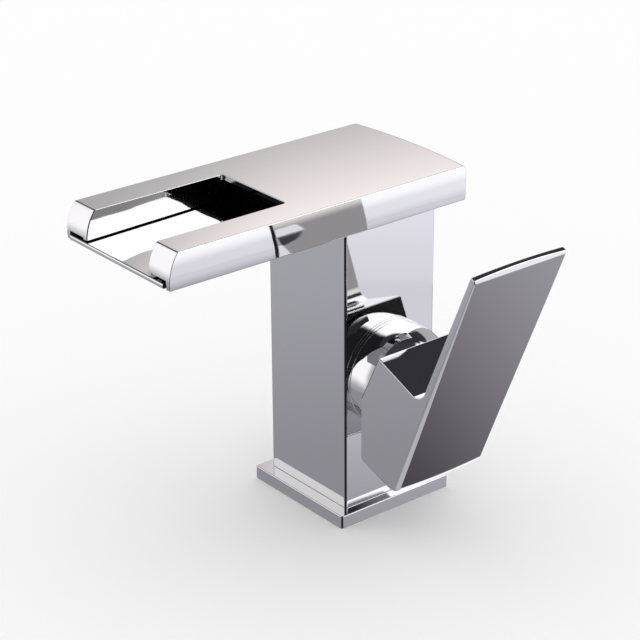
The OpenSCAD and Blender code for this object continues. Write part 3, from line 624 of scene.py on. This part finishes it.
def bonnet_patches():
    """The dome's section turned round its axis: rim, short cylinder, ball, rolled mouth, inner ball."""
    lip, middle = (BONNET_R - BONNET_IN_R) / 2, (BONNET_R + BONNET_IN_R) / 2
    mouth = math.asin((MOUTH_R + lip) / middle)
    back = directions(np.linspace(np.pi, np.pi / 2, EDGE_STEPS))
    ball = directions(np.linspace(np.pi / 2, mouth, FINE_ARC))
    roll = directions(mouth - np.linspace(0, np.pi, ARC))
    centre = np.array([PIVOT_X, 0])
    outside = np.vstack([
        [BONNET_BACK + BONNET_EDGE, BONNET_R - BONNET_EDGE] + BONNET_EDGE * back,
        centre + BONNET_R * ball,
        centre + middle * ball[-1] + lip * roll,
        centre + BONNET_IN_R * ball[::-1],
    ])
    inside = [
        straight((PIVOT_X, BONNET_IN_R), (PIVOT_X, COLLAR_R), (1, 0)),
        straight((PIVOT_X, COLLAR_R), (BONNET_BACK, COLLAR_R), (0, -1)),
        straight((BONNET_BACK, COLLAR_R), (BONNET_BACK, BONNET_R - BONNET_EDGE), (-1, 0)),
    ]
    return [turned(outside, np.vstack([back, ball, roll, -ball[::-1]]))] + [turned(*run) for run in inside]


def ring_patches():
    """The seat ring's section turned round the axis, its two outer edges rounded."""
    edge = directions(np.linspace(np.pi, 0, 2 * EDGE_STEPS + 1))
    left, right = edge[:EDGE_STEPS + 1], edge[EDGE_STEPS:]
    edge_r = RING_R - RING_EDGE
    rim = np.vstack([[RING_BACK + RING_EDGE, edge_r] + RING_EDGE * left,
                     [BONNET_BACK - RING_EDGE, edge_r] + RING_EDGE * right])
    inside = [
        straight((BONNET_BACK, edge_r), (BONNET_BACK, RING_IN_R), (1, 0)),
        straight((BONNET_BACK, RING_IN_R), (RING_BACK, RING_IN_R), (0, -1)),
        straight((RING_BACK, RING_IN_R), (RING_BACK, edge_r), (-1, 0)),
    ]
    return [turned(rim, np.vstack([left, right]))] + [turned(*run) for run in inside]


# Lever handle


def on_lever(s, o):
    """A point of the handle's outline from the pivot: s up the outer face, o outwards from it."""
    s, o = np.broadcast_arrays(np.asarray(s, float), np.asarray(o, float))
    return np.stack([FOOT[0] + s * math.sin(LEAN) + o * math.cos(LEAN),
                     FOOT[1] + s * math.cos(LEAN) - o * math.sin(LEAN)], -1)


def bowed(y, bow):
    """How far an end of the handle draws in at y: r - sqrt(r^2 - y^2), an arc bow deep at the sides."""
    r = (HANDLE_HALF**2 + bow**2) / (2 * bow)
    return r - np.sqrt(r**2 - y**2)


def handle_corners(y):
    """The corners of the handle's side view at each y, counter-clockwise seen from the front.

    Returns their places, the radii that round them in side view, and the radii of the edges that leave
    them across the handle's sides. The curve into the notch is (1 - t)^2 a + 2 t (1 - t) b + t^2 c.
    """
    foot_s, tip_s = FOOT_S + bowed(y, FOOT_BOW), TIP_S - bowed(y, TIP_BOW)
    near_o = (SHOULDER[0] - FOOT[0] - foot_s * math.sin(LEAN)) / math.cos(LEAN)
    t = np.linspace(0, 1, NOTCH_POINTS)[:, None]
    blade_end = on_lever(BLADE_S, -BLADE_THICK)
    curve = (1 - t) ** 2 * blade_end + 2 * t * (1 - t) * NOTCH_PULL + t**2 * NOTCH_END
    corners = [  # place, radius in side view, radius of its edge
        (on_lever(foot_s, near_o), 2.0, 0.5),  # foot near the column
        (on_lever(foot_s, 0), 4.5, 2.1),  # foot outside
        (on_lever(BEVEL_S, 0), 0.85, 0.7),  # bevel's foot
        (on_lever(tip_s, (BEVEL_S - tip_s) * BEVEL_SLOPE), 0.35, 0.3),  # bevel's top
        (on_lever(tip_s, -TIP_THICK), 0.35, 0.3),  # top inside
        *((point, 0, 0.3) for point in curve[:-1]),  # inner face's end and the curve into the notch
        (NOTCH_END, 0.3, 0.3),
        (RIDGE, 0.5, 0.4),
        (SHOULDER, 2.5, 0.5),
    ]
    places, radii, edges = zip(*corners)
    places = np.stack([np.broadcast_to(place, y.shape + (2,)) for place in places], -2)
    return places, np.array(radii, float), np.array(edges)


def handle_outline(y):
    """The handle's side view at each y, with its corners rounded and its straight runs parted.

    A column at a share of a run lies at (1 - share) of its start plus share of its end, and the edge's
    radius goes over by share^2 (3 - 2 share). The last two runs, which the hollow cuts, are finer.
    """
    places, radii, edges = handle_corners(y)
    points, normals = rounded_path(places, radii, CORNER_STEPS)
    edges = np.repeat(edges, CORNER_STEPS + 1)
    parts = np.ones(len(edges), int)
    parts[CORNER_STEPS::CORNER_STEPS + 1] += RUN_COLUMNS
    parts[[-1, -CORNER_STEPS - 2]] = HOLLOW_COLUMNS + 1
    start = np.repeat(np.arange(len(edges)), parts)
    end = (start + 1) % len(edges)
    share = (np.arange(len(start)) - (np.cumsum(parts) - parts)[start]) / parts[start]
    soft = share**2 * (3 - 2 * share)
    points = points[..., start, :] * (1 - share)[:, None] + points[..., end, :] * share[:, None]
    return points, normals[..., start, :], edges[start] * (1 - soft) + edges[end] * soft


def handle_columns_at(y):
    """The handle's side view with its column k taken at y[k]."""
    points, normals, _ = handle_outline(y)
    k = np.arange(len(y))
    return points[k, k], normals[k, k]


def handle_skin(rim, edges):
    """The handle's surface on the +Y side as a grid of rows across it, with its normals.

    A point at y is the side view's point for that y. The rows run from rim to where the edge begins.
    From there they draw in along the side view's normal by r (1 - cos a) while y reaches r sin a
    further, so that r may change along the edge.
    """
    share = np.linspace(0, 1, HALF_ROWS)[:, None]
    turn = np.linspace(0, np.pi / 2, ARC)[1:, None]
    edge_y = HANDLE_HALF - edges
    y = np.vstack([rim + (edge_y - rim) * share, edge_y + edges * np.sin(turn)])
    draw = np.vstack([0 * edges + 0 * share, edges * (1 - np.cos(turn))])
    a = np.vstack([0 * share, turn])
    side, out = (np.array(part) for part in zip(*map(handle_columns_at, y)))
    before = np.array([handle_columns_at(row)[0] for row in np.maximum(y - WIDTH_STEP, 0)])
    lean = ((side - before) * out).sum(-1) / WIDTH_STEP
    side = side - out * draw[..., None]
    points = np.stack([PIVOT_X + side[..., 0], y, AXIS_Z + side[..., 1]], -1)
    across = np.sin(a) - lean * np.cos(a)
    return points, unit(np.stack([out[..., 0] * np.cos(a), across, out[..., 1] * np.cos(a)], -1))


def hollow_patch(loop):
    """The handle's hollow: a ball round the pivot, from its rim to its pole along great circles.

    A point at a share of the way is (sin((1 - share) angle) start + sin(share angle) pole) / sin(angle).
    """
    loop = np.vstack([loop, loop[::-1] * [1, -1, 1], loop[:1]])
    centre, pole = np.array([PIVOT_X, 0, AXIS_Z]), np.array([1.0, 0, 0])
    start = unit(loop - centre)
    angle = np.arccos(start @ pole)[:, None]
    share = np.linspace(0, 1, HOLLOW_ROWS)[:, None, None]
    ball = (np.sin(angle * (1 - share)) * start + np.sin(angle * share) * pole) / np.sin(angle)
    surface = centre + HOLLOW_R * ball
    surface[0] = loop
    return surface, -ball


def handle_patches():
    """The lever: its skin, mirrored to the other side, flat sides, and the hollow that runs over the dome.

    On the near faces the skin starts at sqrt(hollow radius^2 - x^2 - z^2), where the hollow's ball cuts
    them. The face between shoulder and ridge looks at the column and gets the near-black material, a
    painted dark reflection, because its reflection there is dark.
    """
    (middle,), (normal,), edges = handle_outline(np.zeros(1))
    distance = np.linalg.norm(middle, axis=-1)
    before_ridge = middle[:, 0] < RIDGE[0]
    near = before_ridge & (distance < HOLLOW_R)
    rim = np.where(near, np.sqrt(np.maximum(HOLLOW_R**2 - distance**2, 0)), 0)
    points, normals = handle_skin(rim, edges)
    loops = [np.concatenate([grid, grid[:, :1]], 1) for grid in (points, normals)]
    dark = np.where((normal @ unit(DARK_FACE) > SAME_WAY) & before_ridge)[0]
    below, face, above = ([grid[:, part] for grid in loops] for part in (
        slice(0, dark[0] + 1), slice(dark[0], dark[-1] + 1), slice(dark[-1], None)
    ))
    half = [below, above, (*face, PAINTED_DARK), (points[-1], (0, 1, 0))]
    return mirrored(half, axis=1) + [hollow_patch(points[0, near])]


# Pieces

flange = make_piece("flange", flange_patches(), "root", "chrome", "base_flange")
column = make_piece("column", column_patches(), "root", "chrome", "column_body")
spout = make_piece("spout", spout_patches(), "root", "chrome", "deck_shell")
dome = make_piece("dome", bonnet_patches(), "root", "chrome", "bonnet")
seat = make_piece("seat_ring", ring_patches(), "root", "chrome", "bonnet_seat_ring")
lever = make_piece("lever_handle", handle_patches(), "lever", "chrome", "handle")


# Materials

CHROME = (0.70, 0.70, 0.71)
NOISE_DETAIL, NOISE_LOW, NOISE_HIGH = 3.0, 0.3, 0.7
SWELL_SCALE, SWELL_DETAIL, TRAY_WAVE = 45, 1.0, 0.0003


def new_material(name, colour, metallic, roughness):
    """A material with one principled shader, and that shader."""
    mat = bpy.data.materials.new(name)
    mat.use_nodes = True
    shader = mat.node_tree.nodes["Principled BSDF"]
    shader.inputs["Base Color"].default_value = (*colour, 1)
    shader.inputs["Metallic"].default_value = metallic
    shader.inputs["Roughness"].default_value = roughness
    return mat, shader


def object_noise(mat, scale, detail):
    """A noise on the piece's own coordinates, as an output socket between 0 and 1."""
    where = mat.node_tree.nodes.new("ShaderNodeTexCoord")
    noise = mat.node_tree.nodes.new("ShaderNodeTexNoise")
    noise.inputs["Scale"].default_value = scale
    noise.inputs["Detail"].default_value = detail
    mat.node_tree.links.new(where.outputs["Object"], noise.inputs["Vector"])
    return noise.outputs["Fac"]


def vary_roughness(mat, shader, low, high, scale):
    """Drives the roughness with noise, between low and high."""
    span = mat.node_tree.nodes.new("ShaderNodeMapRange")
    limits = {"From Min": NOISE_LOW, "From Max": NOISE_HIGH, "To Min": low, "To Max": high}
    for socket, value in limits.items():
        span.inputs[socket].default_value = value
    mat.node_tree.links.new(object_noise(mat, scale, NOISE_DETAIL), span.inputs["Value"])
    mat.node_tree.links.new(span.outputs["Result"], shader.inputs["Roughness"])


def chrome_finish(name, wave=0.0):
    """Plated and polished: clear, with a faint change of gloss, and where wave isn't 0 a slow waviness."""
    mat, shader = new_material(name, CHROME, 1.0, 0.03)
    vary_roughness(mat, shader, 0.02, 0.045, 60)
    if wave:
        bump = mat.node_tree.nodes.new("ShaderNodeBump")
        bump.inputs["Distance"].default_value = wave
        mat.node_tree.links.new(object_noise(mat, SWELL_SCALE, SWELL_DETAIL), bump.inputs["Height"])
        mat.node_tree.links.new(bump.outputs["Normal"], shader.inputs["Normal"])
    return mat


def plain_material(name, colour, metallic, low, high, scale, shine=0.5):
    """One colour, with a gloss that changes between the two roughnesses on the scale of its grain."""
    mat, shader = new_material(name, colour, metallic, (low + high) / 2)
    shader.inputs["Specular IOR Level"].default_value = shine
    vary_roughness(mat, shader, low, high, scale)
    return mat


materials_by_slot = {
    "chrome": chrome_finish("polished_chrome"),
    "brass": plain_material("machined_brass", (0.78, 0.58, 0.28), 1.0, 0.22, 0.34, 400),
    "steel": plain_material("turned_steel", (0.56, 0.57, 0.58), 1.0, 0.2, 0.35, 500),
    "rubber": plain_material("moulded_rubber", (0.025, 0.025, 0.027), 0.0, 0.6, 0.8, 900),
    "ceramic": plain_material("lapped_ceramic", (0.86, 0.85, 0.80), 0.0, 0.12, 0.2, 300),
    "resin": plain_material("pale_resin", (0.74, 0.75, 0.71), 0.0, 0.35, 0.5, 300),
    # The straightener's own black resin, made darker and duller still as painted shade deep in the channel
    "dark_resin": plain_material("dark_resin", (0.006, 0.006, 0.007), 0.0, 0.6, 0.75, 300, 0.05),
    # Near-black and dull: painted shade inside the spout's hollow and a painted dark reflection on the lever's
    # near face
    "painted_dark": plain_material("painted_dark_shade_and_reflection", (0.03, 0.029, 0.03), 0.0, 0.6, 0.8, 300, 0.1),
    "tray": chrome_finish("hand_polished_chrome", TRAY_WAVE),
}
slot_of = {part["node"]: part["material_slot"] for part in frame["record"]["subparts"]}
slot_of["spout_tray"] = "tray"
for name, node in frame["nodes"].items():
    node.data.materials.clear()
    node.data.materials.append(materials_by_slot[slot_of[name]])
for piece in (flange, column, spout, dome, seat, lever):
    piece.data.materials.append(materials_by_slot["chrome"])
    piece.data.materials.append(materials_by_slot["painted_dark"])


# Camera

CAMERA_AZIMUTH, CAMERA_ELEVATION, CAMERA_ROLL = 51.27, 24.35, -0.40
AIM_HEIGHT, AIM_RIGHT, AIM_UP, CAMERA_DISTANCE = 75.0, -12.2, -2.9, 838
FOCAL_PIXELS, PHOTO_PIXELS, SENSOR = 2151, 640, 36
NEAREST, FURTHEST = 0.01, 50  # metres that the camera sees between


def place_camera():
    """The photograph's camera: 51.3 degrees round from the front, 24.4 above level, 0.84 m away."""
    azimuth, elevation, roll = np.radians([CAMERA_AZIMUTH, CAMERA_ELEVATION, CAMERA_ROLL])
    level = np.array([math.sin(azimuth), -math.cos(azimuth), 0])
    back = level * math.cos(elevation) + np.array([0, 0, math.sin(elevation)])
    right = np.array([math.cos(azimuth), math.sin(azimuth), 0])
    up = np.cross(back, right)
    aim = np.array([0, 0, AIM_HEIGHT]) + right * AIM_RIGHT + up * AIM_UP
    data = bpy.data.cameras.new("camera")
    data.sensor_width, data.lens = SENSOR, FOCAL_PIXELS / PHOTO_PIXELS * SENSOR
    data.clip_start, data.clip_end = NEAREST, FURTHEST
    camera = bpy.data.objects.new("camera", data)
    bpy.context.scene.collection.objects.link(camera)
    rolled_right = math.cos(roll) * right + math.sin(roll) * up
    rolled_up = -math.sin(roll) * right + math.cos(roll) * up
    axes = Matrix(np.column_stack([rolled_right, rolled_up, back]).tolist()).to_4x4()
    camera.matrix_world = Matrix.Translation(Vector((aim + back * CAMERA_DISTANCE) * MM)) @ axes
    bpy.context.scene.camera = camera


# Floor and light, in metres

FLOOR_HALF, FLOOR_DROP, FLOOR_POINTS, FLOOR_TONE = 12, 0.00005, 9, 0.985
STUDIO_RADIUS, STUDIO_COLUMNS, STUDIO_ROWS = 60, 49, 25
MIX_UNDER, MIX_OVER, MIX_RESULT = 6, 7, 2  # the colour sockets of a Mix node
STUDIO_LIGHT = 1.38  # makes up for what one reflection in the chrome takes away
STUDIO_BASE = (0.42, 0.41, 0.43)
# What the chrome mirrors, in degrees of azimuth (0 towards -Y, 90 towards +X) and of elevation
STUDIO = [  # (azimuth, half, soft), (low, soft, tilt), (high, soft), colour
    ((0, 180, 1), (-95, 1, 0), (-20, 1.5), (0.32, 0.31, 0.34)),  # grey ground
    ((-45, 45, 10), (-95, 1, 0), (-20, 1.5), (0.365, 0.362, 0.395)),  # ground in front
    ((-45, 45, 10), (-95, 1, 0), (-25.5, 3.5), (0.262, 0.258, 0.285)),  # and nearer
    ((140, 42, 8), (-23.3, 0.2, 0), (57, 4), (1.0, 1.0, 1.03)),  # softbox behind on the right
    ((140, 42, 8), (4, 6, 0), (57, 4), (1.45, 1.45, 1.49)),  # its brighter upper part
    ((131, 30, 14), (-27, 3.2, 0), (-20.4, 4.6), (0.65, 0.64, 0.70)),  # its glow on the ground
    ((-140, 42, 10), (-9, 5, 0), (30, 4), (0.40, 0.385, 0.387)),  # wall behind on the left
    ((-140, 42, 10), (-24, 4, 0), (-12, 4), (0.08, 0.078, 0.085)),  # shade at its foot
    ((-135.25, 10.75, 4), (18.9, 2.65, 0.25), (47.5, 2), (1.03, 0.95, 0.92)),  # softbox behind on the left
    ((-119, 9, 4), (25.5, 1.2, 0), (50, 2), (0.47, 0.44, 0.46)),  # wall beside it
    ((-40, 22, 8), (-12, 9, 0), (32, 6), (0.98, 0.962, 0.968)),  # softbox in front on the left
    ((-95, 28, 8), (28, 5, 0), (95, 1), (0.1, 0.098, 0.105)),  # dark side above on the left
    ((47, 50, 8), (-34, 4, 0), (95, 1), (0.015, 0.015, 0.018)),  # dark side of the room
    ((0, 180, 1), (58, 3, 0), (95, 1), (0.04, 0.038, 0.045)),  # dark ceiling
    ((-165, 30, 6), (48, 2, 0), (95, 1), (0.03, 0.03, 0.036)),  # and its nearer part
    ((-170, 17, 5), (31, 3, 0), (95, 1), (0.03, 0.03, 0.036)),  # hanging lower in the middle
    ((60, 75, 10), (-95, 1, 0), (-48, 5), (0.46, 0.45, 0.48)),  # lighter ground nearby
    ((155, 16, 3), (-57.5, 1.5, 0), (-50, 5), (0.05, 0.042, 0.052)),  # shade on the ground
    ((-152, 25, 8), (-60, 4, 0), (-28, 4), (0.95, 0.94, 0.97)),  # light ground behind on the left
]


def studio_grid(name, points):
    """A smooth mesh from one grid of points in metres, for things that belong to the studio."""
    mesh = bpy.data.meshes.new(name)
    mesh.from_pydata(points.reshape(-1, 3).tolist(), [], grid_faces(*points.shape[:2]).tolist())
    mesh.shade_smooth()
    obj = bpy.data.objects.new(name, mesh)
    bpy.context.scene.collection.objects.link(obj)
    return obj


def lay_floor():
    """A pale floor, flat just under z = 0 and clear from below, so that the underside can be looked at."""
    x, y = np.meshgrid(*[np.linspace(-FLOOR_HALF, FLOOR_HALF, FLOOR_POINTS)] * 2)
    floor = studio_grid("floor", np.stack([x, y, np.full_like(x, -FLOOR_DROP)], -1))
    mat, shader = new_material("floor_paint", (FLOOR_TONE,) * 3, 0.0, 0.9)
    shader.inputs["Specular IOR Level"].default_value = 0.0
    nodes, links = mat.node_tree.nodes, mat.node_tree.links
    kinds = ("NewGeometry", "BsdfTransparent", "MixShader")
    side, clear, mix = (nodes.new("ShaderNode" + kind) for kind in kinds)
    links.new(side.outputs["Backfacing"], mix.inputs[0])
    links.new(shader.outputs[0], mix.inputs[1])
    links.new(clear.outputs[0], mix.inputs[2])
    links.new(mix.outputs[0], nodes["Material Output"].inputs["Surface"])
    floor.data.materials.append(mat)
    floor.visible_glossy = False


def build_studio():
    """A shell 120 m across round the tap, seen only in its metal, coloured by direction as STUDIO says.

    Each entry is a soft-edged rectangle in azimuth and elevation, laid over those before it: its mask is
    smoothstep across each edge, and the masks of its sides, top and bottom are multiplied. The lower edge
    rises by tilt for each degree of azimuth from the entry's own.
    """
    turns = np.linspace(0, 2 * np.pi, STUDIO_COLUMNS)
    a, e = np.meshgrid(turns, np.linspace(-np.pi / 2, np.pi / 2, STUDIO_ROWS))
    ball = np.stack([np.cos(e) * np.cos(a), np.cos(e) * np.sin(a), np.sin(e)], -1)
    shell = studio_grid("studio_shell", STUDIO_RADIUS * ball)
    for ray in ("camera", "diffuse", "shadow", "volume_scatter"):
        setattr(shell, "visible_" + ray, False)
    mat = bpy.data.materials.new("studio_cards")
    mat.use_nodes = True
    mat.cycles.emission_sampling = "NONE"
    nodes, links = mat.node_tree.nodes, mat.node_tree.links
    nodes.clear()

    def reckon(operation, *values):
        """A math node's output, from sockets or numbers."""
        node = nodes.new("ShaderNodeMath")
        node.operation = operation
        for socket, value in zip(node.inputs, values):
            if isinstance(value, (int, float)):
                socket.default_value = value
            else:
                links.new(value, socket)
        return node.outputs[0]

    def rising(value, middle, soft):
        """0 below middle - soft and 1 above middle + soft, with a smoothstep between."""
        node = nodes.new("ShaderNodeMapRange")
        node.interpolation_type = "SMOOTHSTEP"
        links.new(value, node.inputs["Value"])
        node.inputs["From Min"].default_value = middle - soft
        node.inputs["From Max"].default_value = middle + soft
        return node.outputs["Result"]

    def falling(value, middle, soft):
        """1 below middle - soft and 0 above middle + soft, with a smoothstep between."""
        return reckon("SUBTRACT", 1.0, rising(value, middle, soft))

    def along(x, y, direction):
        """The share of the direction looked in that lies along a level one."""
        return reckon("ADD", *(reckon("MULTIPLY", *pair) for pair in zip((x, y), direction.tolist())))

    where = nodes.new("ShaderNodeTexCoord")
    aim = nodes.new("ShaderNodeVectorMath")
    aim.operation = "NORMALIZE"
    links.new(where.outputs["Object"], aim.inputs[0])
    parts = nodes.new("ShaderNodeSeparateXYZ")
    links.new(aim.outputs["Vector"], parts.inputs[0])
    x, y, z = parts.outputs
    height = reckon("DEGREES", reckon("ARCSINE", z))
    colour = None
    for (azimuth, half, soft), (low, low_soft, tilt), (high, high_soft), tint in STUDIO:
        right = directions(np.radians(azimuth))
        ahead = along(x, y, turn_right(right))
        off = reckon("DEGREES", reckon("ARCTAN2", along(x, y, right), ahead))
        above = reckon("SUBTRACT", height, reckon("MULTIPLY", off, tilt)) if tilt else height
        mask = reckon("MULTIPLY", rising(above, low, low_soft), falling(height, high, high_soft))
        if half < 180:
            mask = reckon("MULTIPLY", mask, falling(reckon("ABSOLUTE", off), half, soft))
        mix = nodes.new("ShaderNodeMix")
        mix.data_type = "RGBA"
        links.new(mask, mix.inputs["Factor"])
        if colour is None:
            mix.inputs[MIX_UNDER].default_value = (*STUDIO_BASE, 1)
        else:
            links.new(colour, mix.inputs[MIX_UNDER])
        mix.inputs[MIX_OVER].default_value = (*tint, 1)
        colour = mix.outputs[MIX_RESULT]
    glow = nodes.new("ShaderNodeEmission")
    glow.inputs["Strength"].default_value = STUDIO_LIGHT
    links.new(colour, glow.inputs["Color"])
    out = nodes.new("ShaderNodeOutputMaterial")
    links.new(glow.outputs[0], out.inputs["Surface"])
    shell.data.materials.append(mat)


def light_world():
    """A plain world of strength 1: white behind everything, and the light on whatever isn't metal."""
    world = bpy.data.worlds.new("studio")
    bpy.context.scene.world = world
    world.use_nodes = True
    world.node_tree.nodes["Background"].inputs["Color"].default_value = (1, 1, 1, 1)
    world.node_tree.nodes["Background"].inputs["Strength"].default_value = 1.0


place_camera()
lay_floor()
build_studio()
light_world()

bpy.context.scene.view_settings.view_transform = "Standard"
